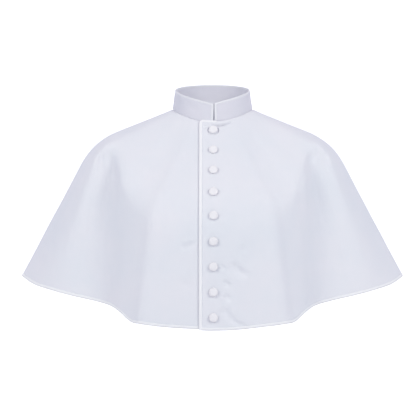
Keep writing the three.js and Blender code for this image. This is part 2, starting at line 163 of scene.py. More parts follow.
# Low relief in the cloth: how high or deep each form is, and how far it reaches.
SEAM_DIP = 0.9
SEAM_DIP_REACH = 1.5
SEAM_RIDGE = 0.35
SEAM_RIDGE_AWAY = 5
SEAM_RIDGE_REACH = 2.4
NECK_DIP = 0.5
NECK_DIP_REACH = 1.8
LONG_WAVE = 0.30
SHORT_WAVE = 0.22
WAVES_START = 30
BUTTON_PULL = 0.35
BUTTON_PULL_REACH = 15
BUTTON_GROOVE = 2.2
BUTTON_GROOVE_AWAY = 0.4
BUTTON_GROOVE_REACH = 1.4
COLLAR_DIP = 0.7
COLLAR_DIP_REACH = 2.0
COLLAR_WAVE = 0.28
COLLAR_RIPPLE = 0.16
COLLAR_WAVES_START = 10

# How finely each piece is made.
FINE_LENGTH = 60
FRONT_FINE_ROWS = 60
FRONT_ROWS = 195
BACK_FINE_ROWS = 24
BACK_ROWS = 152
FRONT_COLUMNS = 190
BACK_COLUMNS = 320
EDGE_CROWDING = 0.02
RIM_ROUNDING = 0.2
COLLAR_ROWS = 26
COLLAR_COLUMNS = 300
LAP_EDGE_START = 0.012
LAP_EDGE_STATIONS = 170
CLEAR_OF_CORNER = 1.5
SMALLEST_BEND = 0.6
LAP_CORNER_STATIONS = 9
HEM_FRONT_STATIONS = 230
HEM_BACK_STATIONS = 440
COLLAR_RIM_STATIONS = 220
COLLAR_END_STATIONS = 9
COLLAR_CORNER_STATIONS = 7
BINDING_STEP = 2.5
BINDING_LIP = 0.9
LIP_EDGE = 0.04
LIP_BEVEL = 0.25
LIP_SLOPE = 0.55
# How far across the tape the painted shade on its fold reaches.
FOLD_SHADE_SHARE = 0.28
COLLAR_BINDING_LIP = 0.3
COLLAR_BINDING_FOLLOWS = 0.6
STITCH_LENGTH = 2.3
STITCH_SPACING = 3.1
STITCH_WIDTH = 0.55
STITCH_HEIGHT = 0.32
STITCH_INSET = 1.9
STITCH_SIDES = 6
STITCH_STATIONS = (0.0, 0.12, 0.5, 0.88, 1.0)
STITCH_SWELL = (0.25, 0.8, 1.0, 0.8, 0.25)
COLLAR_STITCH_CORNER = 0.8
THREAD_ABOVE = 0.02

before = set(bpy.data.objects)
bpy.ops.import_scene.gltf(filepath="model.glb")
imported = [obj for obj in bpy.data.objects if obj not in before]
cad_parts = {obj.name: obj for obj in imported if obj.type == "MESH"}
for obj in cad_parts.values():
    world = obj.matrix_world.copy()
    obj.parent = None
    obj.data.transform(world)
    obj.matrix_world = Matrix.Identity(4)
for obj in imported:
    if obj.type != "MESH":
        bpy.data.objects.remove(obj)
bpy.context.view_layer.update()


def smooth_step(share):
    share = np.clip(share, 0, 1)
    return share * share * (3 - 2 * share)


def closed_column(name):
    """One column of the drop-line table for every line round the cape, mirrored past the centre back."""
    values = [row[DROP_COLUMNS.index(name)] for row in DROP_LINES]
    sign = -1 if name.endswith("_x") else 1
    return np.array(values + [sign * value for value in values[-2:0:-1]], float)


CLOSED = {name: closed_column(name) for name in DROP_COLUMNS}


def column_at(name, line):
    first = np.floor(line).astype(int)
    share = line - first
    before, start, end, after = (CLOSED[name][(first + shift) % ALL_LINES] for shift in (-1, 0, 1, 2))
    start_slope = (end - before) / 2
    end_slope = (after - start) / 2
    square = share * share
    cube = square * share
    return (
        (2 * cube - 3 * square + 1) * start
        + (cube - 2 * square + share) * start_slope
        + (3 * square - 2 * cube) * end
        + (cube - square) * end_slope
    )


def stack(x, y, z):
    return np.stack(np.broadcast_arrays(x, y, z), axis=-1).astype(float)


def unit(vectors):
    return vectors / np.maximum(np.linalg.norm(vectors, axis=-1, keepdims=True), 1e-12)


def neck_point(angle):
    forward = np.cos(angle)
    dip = np.abs(forward) ** NECK_DIP_POWER
    height = np.where(forward > 0, -NECK_FRONT_DROP * dip, NECK_BACK_RISE * dip)
    return stack(NECK_HALF_WIDTH * np.sin(angle), -NECK_HALF_DEPTH * forward, height)


def point_at(name, line):
    return stack(*(column_at(f"{name}_{axis}", line) for axis in "xyz"))


class DropLines:
    """Each drop line of an array: straight from the neck, turned round the shoulder, and straight down."""

    def __init__(self, line):
        self.neck = neck_point(line / ALL_LINES * 2 * math.pi)
        self.shelf = point_at("shelf", line)
        self.hem = point_at("hem", line)
        soften = column_at("soften", line)
        self.turn_start = self.shelf + unit(self.neck - self.shelf) * soften[..., None]
        self.turn_end = self.shelf + unit(self.hem - self.shelf) * soften[..., None]
        self.upper = np.linalg.norm(self.neck - self.turn_start, axis=-1)
        self.turn = (2 * np.linalg.norm(self.turn_start - self.turn_end, axis=-1) + 2 * soften) / 3
        self.lower = np.linalg.norm(self.hem - self.turn_end, axis=-1)
        self.length = self.upper + self.turn + self.lower


def cape_point(line, from_neck):
    line, from_neck = np.broadcast_arrays(np.asarray(line, float), np.asarray(from_neck, float))
    drop = DropLines(line)
    upper_share = (from_neck / drop.upper)[..., None]
    lower_share = ((from_neck - drop.upper - drop.turn) / drop.lower)[..., None]
    share = np.clip((from_neck - drop.upper) / drop.turn, 0, 1)[..., None]
    above = drop.neck + (drop.turn_start - drop.neck) * upper_share
    below = drop.turn_end + (drop.hem - drop.turn_end) * lower_share
    turning = (1 - share) ** 2 * drop.turn_start + 2 * share * (1 - share) * drop.shelf
    turning = turning + share**2 * drop.turn_end
    point = np.where(upper_share < 1, above, turning)
    return np.where(lower_share > 0, below, point)


def eased_point(line, from_neck):
    """The cape's form, with the front of each shoulder rounded by the points on lines to both sides."""
    away = np.abs(line)
    share = smooth_step((away - EASE_FROM_LINE) / EASE_FADE_LINES)
    share = share * (1 - smooth_step((away - EASE_TO_LINE) / EASE_FADE_LINES))
    share = share * smooth_step((from_neck - EASE_START) / EASE_START_FADE)
    share = share * (1 - smooth_step((from_neck - EASE_END) / EASE_END_FADE))
    shifts = np.linspace(-EASE_REACH, EASE_REACH, EASE_SAMPLES)
    weights = np.cos(shifts / EASE_REACH * math.pi * EASE_FALL) ** 2
    rounded = sum(weight * cape_point(line + shift, from_neck) for shift, weight in zip(shifts, weights))
    point = cape_point(line, from_neck)
    return point + (rounded / weights.sum() - point) * share[..., None]


LINE_STEP = 0.02
LENGTH_STEP = 0.5
SEARCH_LINES = 4.0
SEARCH_HALVINGS = 40


def along_line(line, from_neck):
    step = cape_point(line, from_neck + LENGTH_STEP) - cape_point(line, from_neck - LENGTH_STEP)
    return step / (2 * LENGTH_STEP)


def across_lines(line, from_neck):
    step = cape_point(line + LINE_STEP, from_neck) - cape_point(line - LINE_STEP, from_neck)
    return step / (2 * LINE_STEP)


def cape_normal(line, from_neck):
    return unit(np.cross(along_line(line, from_neck), across_lines(line, from_neck)))


def length_at(line):
    return DropLines(np.asarray(line, float)).length


def line_at_x(x, distance_at):
    """The line where the cloth is at a given x, searched for near the centre front by halving."""
    low = np.full(np.shape(x), -SEARCH_LINES)
    high = np.full(np.shape(x), SEARCH_LINES)
    for _ in range(SEARCH_HALVINGS):
        middle = (low + high) / 2
        short = cape_point(middle, distance_at(middle))[..., 0] < x
        low = np.where(short, middle, low)
        high = np.where(short, high, middle)
    return low


def lap_share(x):
    return 1 - smooth_step((x - LAP_FADE_FROM_X) / (LAP_FADE_TO_X - LAP_FADE_FROM_X))


def lap_lift(x, from_neck):
    """How far the lapping front lies over the other: least at the neck, and a little more at its edge."""
    lift = LAP_LIFT_AT_NECK + (LAP_LIFT - LAP_LIFT_AT_NECK) * smooth_step(from_neck / LAP_RISE_LENGTH)
    curl = LAP_EDGE_CURL * smooth_step(from_neck / LAP_RISE_LENGTH)
    return lift * lap_share(x) + curl * np.exp(-(((x - LAP_EDGE_X) / LAP_CURL_REACH) ** 2))


def no_lift(x, from_neck):
    return np.zeros(np.shape(x))


def lapped_length(line):
    line = np.asarray(line, float)
    drop = np.where(line < SIDE_LINE, LAP_HEM_DROP * lap_share(column_at("hem_x", line)), 0)
    return length_at(line) + drop


def creases_at(points):
    """How far the creases lift the cloth at each point."""
    total = np.zeros(points.shape[:-1])
    x, y, z = points[..., 0], points[..., 1], points[..., 2]
    for row in CREASES:
        crease = dict(zip(CREASE_COLUMNS, row))
        run_x = crease["end_x"] - crease["start_x"]
        run_z = crease["end_z"] - crease["start_z"]
        run = math.hypot(run_x, run_z)
        along = ((x - crease["start_x"]) * run_x + (z - crease["start_z"]) * run_z) / run**2
        aside = ((x - crease["start_x"]) * run_z - (z - crease["start_z"]) * run_x) / run
        bend = CREASE_BEND * run * np.sin(np.clip(along, 0, 1) * math.pi)
        taper = smooth_step((along + CREASE_OVERRUN) / CREASE_START_TAPER)
        taper = taper * smooth_step((1 + CREASE_OVERRUN - along) / CREASE_END_TAPER)
        facing = smooth_step((-y if crease["face"] == "front" else y) / CREASE_FADE)
        total += facing * crease["height"] * taper * np.exp(-(((aside - bend) / crease["spread"]) ** 2))
    return total


def slow_waves(points):
    """The unevenness that any worn cloth has: two sets of waves under a millimetre high.

    The number under each of x, y and z sets how long the waves are along it, and the others shift them.
    """
    x, y, z = points[..., 0], points[..., 1], points[..., 2]
    long_waves = np.sin(x / 23 + z / 61 + 0.7) * np.sin(z / 47 - y / 39)
    short_waves = np.sin(x / 13 - z / 29 + y / 17 + 2.1) * np.sin(z / 31 + 0.4)
    return LONG_WAVE * long_waves + SHORT_WAVE * short_waves


def pull_of_buttons(points):
    """The cloth is drawn in a little round each button, and into a groove round the top one."""
    total = np.zeros(points.shape[:-1])
    for centre in BUTTON_CENTRES:
        away = np.linalg.norm(points - centre, axis=-1)
        total -= BUTTON_PULL * np.exp(-((away / BUTTON_PULL_REACH) ** 2))
    away = np.linalg.norm(points - BUTTON_CENTRES[0], axis=-1)
    past = (away - BUTTON_RADIUS - BUTTON_GROOVE_AWAY) / BUTTON_GROOVE_REACH
    return total - BUTTON_GROOVE * np.exp(-(past**2))


def relief(line, from_neck, points):
    """How far the cloth stands out of its plain form: at its seams, in slow waves, creases and pulls."""
    seam_away = np.minimum(np.abs(line - SIDE_LINE), np.abs(line - (ALL_LINES - SIDE_LINE)))
    seam_away = np.minimum(seam_away, np.abs(line + SIDE_LINE))
    seam_mm = seam_away * np.linalg.norm(across_lines(line, from_neck), axis=-1)
    seam_dip = -SEAM_DIP * np.exp(-((seam_mm / SEAM_DIP_REACH) ** 2))
    seam_dip = seam_dip + SEAM_RIDGE * np.exp(-(((seam_mm - SEAM_RIDGE_AWAY) / SEAM_RIDGE_REACH) ** 2))
    neck_dip = -NECK_DIP * np.exp(-((from_neck / NECK_DIP_REACH) ** 2))
    quiet = smooth_step(from_neck / WAVES_START)
    low_forms = seam_dip + neck_dip + quiet * slow_waves(points)
    return low_forms + creases_at(points) + pull_of_buttons(points)


def cloth_points(line, from_neck, lift_at, below=0.0):
    """Points of the cloth's outer face, or of a layer below it, with its relief."""
    line, from_neck = np.broadcast_arrays(np.asarray(line, float), np.asarray(from_neck, float))
    points = eased_point(line, from_neck)
    normal = cape_normal(line, from_neck)
    height = lift_at(points[..., 0], from_neck) + relief(line, from_neck, points) - below
    return points + normal * height[..., None]


BUTTON_DISTANCES = FIRST_BUTTON_FROM_NECK + BUTTON_SPACING * np.arange(BUTTON_COUNT)
BUTTON_LINES = np.array(
    [float(line_at_x(np.array(BUTTON_X), lambda line, d=d: d + 0 * line)) for d in BUTTON_DISTANCES]
)
BUTTON_CENTRES = cape_point(BUTTON_LINES, BUTTON_DISTANCES)


def make_object(name, vertices, faces, material, uvs=None, sharp_deg=50):
    mesh = bpy.data.meshes.new(name)
    mesh.from_pydata((np.asarray(vertices) * MM).tolist(), [], [list(map(int, face)) for face in faces])
    if uvs is not None:
        layer = mesh.uv_layers.new(name="cloth")
        corner_vertices = np.empty(len(mesh.loops), int)
        mesh.loops.foreach_get("vertex_index", corner_vertices)
        layer.data.foreach_set("uv", np.asarray(uvs, float)[corner_vertices].ravel())
    mesh.polygons.foreach_set("use_smooth", [True] * len(mesh.polygons))
    mesh.set_sharp_from_angle(angle=math.radians(sharp_deg))
    mesh.update()
    piece = bpy.data.objects.new(name, mesh)
    bpy.context.collection.objects.link(piece)
    piece.data.materials.append(material)
    return piece


def shell(name, outer, inner, material, uv, inner_face_material=None):
    """A closed thin wall between two grids, with a rounded rim and, where it is given, another colour on its
    inner face.
    """
    rows, columns = outer.shape[:2]
    layer_size = rows * columns
    outer_ids = np.arange(layer_size).reshape(rows, columns)
    inner_ids = outer_ids + layer_size

    def quads(a, b, c, d):
        return np.stack([a.ravel(), b.ravel(), c.ravel(), d.ravel()], axis=1)

    faces = [
        quads(outer_ids[:-1, :-1], outer_ids[1:, :-1], outer_ids[1:, 1:], outer_ids[:-1, 1:]),
        quads(inner_ids[:-1, :-1], inner_ids[:-1, 1:], inner_ids[1:, 1:], inner_ids[1:, :-1]),
    ]
    border = np.concatenate(
        [outer_ids[:, 0], outer_ids[-1, 1:], outer_ids[-2::-1, -1], outer_ids[0, -2:0:-1]]
    )
    inward = np.concatenate(
        [outer_ids[:, 1], outer_ids[-2, 1:], outer_ids[-2::-1, -2], outer_ids[1, -2:0:-1]]
    )
    flat_outer = outer.reshape(-1, 3)
    flat_inner = inner.reshape(-1, 3)
    thickness = np.linalg.norm(flat_outer[border] - flat_inner[border], axis=1, keepdims=True)
    outward = unit(flat_outer[border] - flat_outer[inward])
    middle = (flat_outer[border] + flat_inner[border]) / 2
    middle = middle + outward * np.minimum(thickness * RIM_ROUNDING, SEAM_GAP / 4)
    middle_ids = 2 * layer_size + np.arange(len(border))
    ahead = np.roll(np.arange(len(border)), -1)
    faces.append(quads(border, middle_ids, middle_ids[ahead], border[ahead]))
    faces.append(quads(middle_ids, border + layer_size, border[ahead] + layer_size, middle_ids[ahead]))
    vertices = np.concatenate([flat_outer, flat_inner, middle])
    uvs = np.concatenate([uv.reshape(-1, 2), uv.reshape(-1, 2), uv.reshape(-1, 2)[border]])
    piece = make_object(name, vertices, np.concatenate(faces), material, uvs)
    if inner_face_material is not None:
        piece.data.materials.append(inner_face_material)
        slots = np.zeros(len(piece.data.polygons), np.int32)
        slots[len(faces[0]) : len(faces[0]) + len(faces[1])] = 1
        piece.data.polygons.foreach_set("material_index", slots)
    return piece


def binding_section(width, depth, cloth, lip_side, lip_width=BINDING_LIP):
    """The section of folded tape round an edge: a round fold, a flat top and a lip on the cloth.

    Its points are width and height from its centre. The collar's cloth runs through its middle, and thinner
    cloth lies low in it, with its inside level with the tape's.
    """
    half = width / 2
    top = depth / 2
    face = cloth - top if cloth < COLLAR_CLOTH else cloth / 2
    lip = half + SEAM_GAP + lip_width
    points = [
        (lip, face + LIP_EDGE),
        (lip - LIP_BEVEL, face + LIP_EDGE + (top - face) * LIP_SLOPE),
        (half * 0.9, top - LIP_EDGE),
        (half * 0.4, top),
        (-half * 0.3, top),
        (-half * 0.66, top * 0.94),
        (-half * 0.88, top * 0.7),
        (-half, top * 0.2),
        (-half * 0.98, -top * 0.3),
        (-half * 0.82, -top * 0.78),
        (-half * 0.55, -top),
    ]
    if cloth < COLLAR_CLOTH:
        points += [(half * 0.85, -top), (half, -top * 0.85), (half, face)]
    else:
        points += [(half * 0.9, LIP_EDGE - top)]
        points += [(lip - LIP_BEVEL, -face - LIP_EDGE - (top - face) * LIP_SLOPE)]
        points += [(lip, -face - LIP_EDGE), (half, -face), (half, face)]
    section = np.array(points)
    if lip_side < 0:
        section = section[::-1] * np.array([-1.0, 1.0])
    return section


def roll(name, centres, normals, section, material, widthways=None, sizes=None, fold=None):
    """A closed roll of binding along a row of centres, with its section scaled by the sizes where given.

    Where a fold material is given, it paints shade in a greyer colour on the folded edge.
    """
    scale = np.ones(len(centres)) if sizes is None else sizes
    ahead = np.concatenate([centres[1:], centres[-1:]])
    behind = np.concatenate([centres[:1], centres[:-1]])
    across = unit(np.cross(ahead - behind, normals)) if widthways is None else widthways
    rings = (
        centres[:, None, :]
        + across[:, None, :] * section[None, :, 0, None] * scale[:, None, None]
        + normals[:, None, :] * section[None, :, 1, None] * scale[:, None, None]
    )
    count = len(centres)
    sides = len(section)
    ids = np.arange(count * sides).reshape(count, sides)
    beside = np.roll(ids, -1, axis=1)
    faces = np.stack([ids[:-1], ids[1:], beside[1:], beside[:-1]], axis=-1).reshape(-1, 4).tolist()
    faces.append(ids[0].tolist())
    faces.append(ids[-1][::-1].tolist())
    travelled = np.concatenate([[0], np.cumsum(np.linalg.norm(np.diff(centres, axis=0), axis=1))])
    steps = np.linalg.norm(np.diff(section, axis=0), axis=1)
    around = np.concatenate([[0], np.cumsum(steps)])
    uvs = np.stack(np.broadcast_arrays(around[None, :], travelled[:, None]), axis=-1).reshape(-1, 2) * MM
    piece = make_object(name, rings.reshape(-1, 3), faces, material, uvs, sharp_deg=70)
    if fold is not None:
        piece.data.materials.append(fold)
        # The faces round the folded edge take the greyer colour: painted shade.
        half = section[:, 0].min()
        painted_shade_faces = np.maximum(section[:, 0], np.roll(section[:, 0], -1)) < half * FOLD_SHADE_SHARE
        slots = np.concatenate([np.tile(painted_shade_faces, count - 1), [False, False]]).astype(np.int32)
        piece.data.polygons.foreach_set("material_index", slots)
    return piece


def stitches(name, path, normals, material):
    """A row of short raised threads along a path that lies on the cloth."""
    gone = np.concatenate([[0], np.cumsum(np.linalg.norm(np.diff(path, axis=0), axis=1))])
    starts = np.arange(STITCH_SPACING / 2, gone[-1] - STITCH_LENGTH, STITCH_SPACING)
    stations = np.array(STITCH_STATIONS)
    sides = STITCH_SIDES
    turns = np.arange(sides) / sides * 2 * math.pi
    vertices = []
    faces = []

    def at(distances, values):
        return np.stack([np.interp(distances, gone, values[:, axis]) for axis in range(3)], axis=-1)

    for start in starts:
        distances = start + stations * STITCH_LENGTH
        centres = at(distances, path)
        normal = unit(at(distances, normals))
        across = unit(np.cross(centres[-1] - centres[0], normal[2]))
        first = len(vertices)
        for station in range(len(stations)):
            for turn in turns:
                vertices.append(
                    centres[station]
                    + across * math.cos(turn) * STITCH_WIDTH / 2 * STITCH_SWELL[station]
                    + normal[station] * math.sin(turn) * STITCH_HEIGHT * STITCH_SWELL[station]
                )
        for station in range(len(stations) - 1):
            for side in range(sides):
                a = first + station * sides + side
                b = first + station * sides + (side + 1) % sides
                faces.append((a, a + sides, b + sides, b))
        faces.append(tuple(first + side for side in range(sides)))
        last = first + (len(stations) - 1) * sides
        faces.append(tuple(last + side for side in reversed(range(sides))))
    return make_object(name, vertices, faces, material)


def grid_uv(outer):
    """Distances across and down the cloth, in metres, for the weave."""
    rows, columns = outer.shape[:2]
    steps_across = np.cumsum(np.linalg.norm(np.diff(outer, axis=1), axis=-1), axis=1)
    steps_down = np.cumsum(np.linalg.norm(np.diff(outer, axis=0), axis=-1), axis=0)
    across = np.concatenate([np.zeros((rows, 1)), steps_across], axis=1)
    down = np.concatenate([np.zeros((1, columns)), steps_down], axis=0)
    middle = columns // 2
    return np.stack([across - across[:, middle : middle + 1], down], axis=-1) * MM


def set_input(node, name, value):
    node.inputs[name].default_value = value


# The cloths' common looks. The weave's depth is in metres, and the wave texture has 20 bands to 2 pi units.
WAVE_BANDS = 20 / (2 * math.pi)
WEAVE_DEPTH = 0.00012
NAP_SHARE = 0.35
ROUGHNESS_SPREAD = 0.06
BLOTCH_SPREAD = 0.35


def cloth_material(name, light, dark, weave_pitch, roughness, sheen, weave_bump):
    """Plain woven cloth: threads over and under, faint slubs and a slow change of colour."""
    material = bpy.data.materials.new(name)
    material.use_nodes = True
    nodes = material.node_tree.nodes
    links = material.node_tree.links
    shader = nodes["Principled BSDF"]
    set_input(shader, "Sheen Weight", sheen)
    set_input(shader, "Sheen Roughness", 0.45)
    set_input(shader, "Specular IOR Level", 0.25)
    place = nodes.new("ShaderNodeTexCoord")

    def wave(direction):
        node = nodes.new("ShaderNodeTexWave")
        node.wave_type = "BANDS"
        node.bands_direction = direction
        set_input(node, "Scale", 1 / (weave_pitch * MM) / WAVE_BANDS)
        set_input(node, "Distortion", 0.6)
        set_input(node, "Detail", 1.0)
        set_input(node, "Detail Scale", 0.6)
        links.new(place.outputs["UV"], node.inputs["Vector"])
        return node

    warp = wave("X")
    weft = wave("Y")
    threads = nodes.new("ShaderNodeMath")
    threads.operation = "MULTIPLY"
    links.new(warp.outputs["Fac"], threads.inputs[0])
    links.new(weft.outputs["Fac"], threads.inputs[1])

    nap = nodes.new("ShaderNodeTexNoise")
    set_input(nap, "Scale", 900.0)
    set_input(nap, "Detail", 3.0)
    links.new(place.outputs["Object"], nap.inputs["Vector"])
    slow = nodes.new("ShaderNodeTexNoise")
    set_input(slow, "Scale", 9.0)
    set_input(slow, "Detail", 4.0)
    set_input(slow, "Roughness", 0.55)
    links.new(place.outputs["Object"], slow.inputs["Vector"])

    colours = nodes.new("ShaderNodeValToRGB")
    colours.color_ramp.elements[0].position = 0.5 - BLOTCH_SPREAD / 2
    colours.color_ramp.elements[0].color = (*dark, 1)
    colours.color_ramp.elements[1].position = 0.5 + BLOTCH_SPREAD / 2
    colours.color_ramp.elements[1].color = (*light, 1)
    links.new(slow.outputs["Fac"], colours.inputs["Fac"])
    # The threads darken the colour by up to 3 per cent between them: painted shade in the weave.
    shade = nodes.new("ShaderNodeMapRange")
    set_input(shade, "To Min", 0.97)
    set_input(shade, "To Max", 1.0)
    links.new(threads.outputs["Value"], shade.inputs["Value"])
    mixed = nodes.new("ShaderNodeMix")
    mixed.data_type = "RGBA"
    mixed.blend_type = "MULTIPLY"
    set_input(mixed, "Factor", 1.0)
    links.new(colours.outputs["Color"], mixed.inputs["A"])
    links.new(shade.outputs["Result"], mixed.inputs["B"])
    links.new(mixed.outputs["Result"], shader.inputs["Base Color"])

    rough = nodes.new("ShaderNodeMapRange")
    set_input(rough, "To Min", roughness - ROUGHNESS_SPREAD)
    set_input(rough, "To Max", roughness + ROUGHNESS_SPREAD)
    links.new(nap.outputs["Fac"], rough.inputs["Value"])
    links.new(rough.outputs["Result"], shader.inputs["Roughness"])

    height = nodes.new("ShaderNodeMath")
    height.operation = "MULTIPLY_ADD"
    set_input(height, 1, NAP_SHARE)
    links.new(nap.outputs["Fac"], height.inputs[0])
    links.new(threads.outputs["Value"], height.inputs[2])
    bump = nodes.new("ShaderNodeBump")
    set_input(bump, "Strength", weave_bump)
    set_input(bump, "Distance", WEAVE_DEPTH)
    links.new(height.outputs["Value"], bump.inputs["Height"])
    links.new(bump.outputs["Normal"], shader.inputs["Normal"])
    return material


# Each cloth: its name, its light and dark colours, its weave's pitch, and how rough, sheeny and bumpy it is.
CLOTHS = (
    ("cape_cloth", (0.808, 0.795, 0.84), (0.77, 0.779, 0.828), 0.55, 0.82, 0.05, 0.5),
    # The collar's cloth and the collar's binding are set darker than the cape's cloth and the lap's binding.
    ("collar_cloth", (0.732, 0.712, 0.776), (0.696, 0.691, 0.757), 0.55, 0.82, 0.05, 0.5),
    # The collar's inside face is its own cloth in a lighter colour than its outside: painted light inside the
    # collar.
    ("collar_inside_painted_light", (0.775, 0.752, 0.83), (0.745, 0.73, 0.805), 0.55, 0.82, 0.05, 0.5),
    ("binding_cloth", (0.90, 0.885, 0.908), (0.87, 0.86, 0.885), 0.4, 0.6, 0.15, 0.35),
    ("hem_binding_cloth", (0.88, 0.87, 0.89), (0.85, 0.845, 0.87), 0.4, 0.6, 0.1, 0.35),
    # The hem tape's colour made grey for the faces round its fold: painted shade on the tape's folded bottom
    # edge.
    ("hem_fold_painted_shade", (0.745, 0.73, 0.735), (0.715, 0.7, 0.71), 0.4, 0.7, 0.0, 0.35),
    ("collar_binding_cloth", (0.80, 0.79, 0.83), (0.77, 0.765, 0.81), 0.4, 0.6, 0.1, 0.35),
    ("button_cloth", (0.872, 0.842, 0.865), (0.84, 0.82, 0.845), 0.5, 0.7, 0.15, 0.45),
    ("thread", (0.78, 0.78, 0.83), (0.75, 0.75, 0.81), 0.3, 0.6, 0.1, 0.3),
)
(
    body_cloth,
    collar_stuff,
    collar_inside_painted_light,
    binding_cloth,
    hem_binding_cloth,
    hem_fold_painted_shade,
    collar_binding_cloth,
    button_cloth,
    thread,
) = (cloth_material(*row) for row in CLOTHS)


def panel_rows(fine_rows, rows, length):
    """Shares down a panel: close rows over its first part, wider ones below."""
    fine_share = FINE_LENGTH / length
    top = np.linspace(0, fine_share, fine_rows, endpoint=False)
    return np.concatenate([top, np.linspace(fine_share, 1, rows - fine_rows)])


LAP_TOP_CUT = INSET - LAP_BINDING_RISE
LAP_PANEL_CORNER = LAP_CORNER_RADIUS - INSET
LAP_TAPER_LINE = float(line_at_x(np.array(LAP_BINDING_END_X - LAP_BINDING_TAPER), lambda line: 0 * line))
LAP_END_LINE = float(line_at_x(np.array(LAP_BINDING_END_X), lambda line: 0 * line))


def lap_top_cut(line):
    """How far below the neck the lapping front starts: lower inside the binding of its free top."""
    past = (np.asarray(line, float) - LAP_TAPER_LINE) / (LAP_END_LINE - LAP_TAPER_LINE)
    return LAP_TOP_CUT * (1 - smooth_step(past))


def plain_top(line):
    return 0 * np.asarray(line, float)


def lap_panel_edge_x(below_top):
    above = np.maximum(0, LAP_PANEL_CORNER - below_top)
    return LAP_EDGE_X + INSET + LAP_PANEL_CORNER - np.sqrt(LAP_PANEL_CORNER**2 - above**2)


def beside_seam(line, from_neck, gap):
    return line + gap / np.linalg.norm(across_lines(line, from_neck), axis=-1)


def panel(
    name, start_at, end_at, columns, shares, material, top_at=plain_top, length_of=length_at, lift_at=no_lift
):
    """A panel of the cape between two edges, from the neck to the hem's binding, and its outer points."""

    def distance_at(line, share):
        top = top_at(line)
        return top + (length_of(line) - INSET - top) * share

    starts = np.array([float(start_at(lambda line, s=s: distance_at(line, s))) for s in shares])
    ends = np.array([float(end_at(lambda line, s=s: distance_at(line, s))) for s in shares])
    across = np.linspace(0, 1, columns)
    edge_ease = across - EDGE_CROWDING * np.sin(2 * math.pi * across)
    lines = starts[:, None] + (ends - starts)[:, None] * edge_ease[None, :]
    distances = distance_at(lines, shares[:, None])
    outer = cloth_points(lines, distances, lift_at)
    inner = cloth_points(lines, distances, lift_at, below=CLOTH)
    piece = shell(name, outer, inner, material, grid_uv(outer))
    return piece, outer


FRONT_SHARES = panel_rows(FRONT_FINE_ROWS, FRONT_ROWS, float(length_at(0)))
BACK_SHARES = panel_rows(BACK_FINE_ROWS, BACK_ROWS, float(length_at(BACK_LINE)))


def seam_edge(line, gap):
    """An edge of a panel along a seam on a drop line, half a gap to one side of it."""
    line = np.array(float(line))
    return lambda distance_at: beside_seam(line, distance_at(line), gap)


left_front, left_grid = panel(
    "left_front_cloth",
    start_at=lambda distance_at: line_at_x(
        lap_panel_edge_x(distance_at(np.array(0.0)) - LAP_TOP_CUT), distance_at
    ),
    end_at=seam_edge(SIDE_LINE, -SEAM_GAP / 2),
    columns=FRONT_COLUMNS,
    shares=FRONT_SHARES,
    material=body_cloth,
    top_at=lap_top_cut,
    length_of=lapped_length,
    lift_at=lap_lift,
)
right_front, right_grid = panel(
    "right_front_cloth",
    start_at=seam_edge(-SIDE_LINE, SEAM_GAP / 2),
    end_at=lambda distance_at: line_at_x(np.array(float(UNDERLAP_EDGE_X)), distance_at),
    columns=FRONT_COLUMNS,
    shares=FRONT_SHARES,
    material=body_cloth,
)
back, back_grid = panel(
    "back_cloth",
    start_at=seam_edge(SIDE_LINE, SEAM_GAP / 2),
    end_at=seam_edge(ALL_LINES - SIDE_LINE, -SEAM_GAP / 2),
    columns=BACK_COLUMNS,
    shares=BACK_SHARES,
    material=body_cloth,
)


def collar_top_height(angle):
    from_front = np.abs(np.arctan2(np.sin(angle), np.cos(angle))) / (math.pi / 2)
    front = COLLAR_TOP_FRONT_Z + (COLLAR_TOP_SIDE_Z - COLLAR_TOP_FRONT_Z) * from_front
    round_back = np.sin(np.clip(from_front - 1, 0, 1) * (math.pi / 2))
    rear = COLLAR_TOP_SIDE_Z + (COLLAR_TOP_BACK_Z - COLLAR_TOP_SIDE_Z) * round_back
    return np.where(from_front < 1, front, rear)


def collar_point(angle, share):
    top = stack(
        COLLAR_TOP_HALF_WIDTH * np.sin(angle),
        -COLLAR_TOP_HALF_DEPTH * np.cos(angle),
        collar_top_height(angle),
    )
    base = neck_point(angle)
    return base + (top - base) * np.asarray(share)[..., None]


def collar_height(angle):
    return np.linalg.norm(collar_point(angle, np.ones(np.shape(angle))) - neck_point(angle), axis=-1)


ANGLE_STEP = 0.004
SHARE_STEP = 0.01


def collar_normal(angle, share):
    angle, share = np.broadcast_arrays(angle, share)
    around = collar_point(angle + ANGLE_STEP, share) - collar_point(angle - ANGLE_STEP, share)
    up = collar_point(angle, share + SHARE_STEP) - collar_point(angle, share - SHARE_STEP)
    return unit(np.cross(around, up))


def collar_angle_at_x(x, share):
    return np.arcsin(x / (NECK_HALF_WIDTH + (COLLAR_TOP_HALF_WIDTH - NECK_HALF_WIDTH) * share))


def collar_left_end(share):
    """The collar's ends draw together towards their top."""
    return COLLAR_LEFT_END_X - COLLAR_END_DRAW * share


def collar_right_end(share):
    return COLLAR_RIGHT_END_X + COLLAR_END_DRAW * share


def collar_relief(angle, above_seam):
    """The collar's face dips to its seam and is a little uneven over its stiffening."""
    dip = -COLLAR_DIP * np.exp(-((above_seam / COLLAR_DIP_REACH) ** 2))
    waves = COLLAR_WAVE * np.sin(3.1 * angle + above_seam / 9) * np.sin(7.3 * angle + 1.1)
    ripples = np.sin(above_seam / 3.6 + 2.4 * np.sin(2.3 * angle)) * np.sin(5.1 * angle + 0.4)
    return dip + (waves + COLLAR_RIPPLE * ripples) * smooth_step(above_seam / COLLAR_WAVES_START)


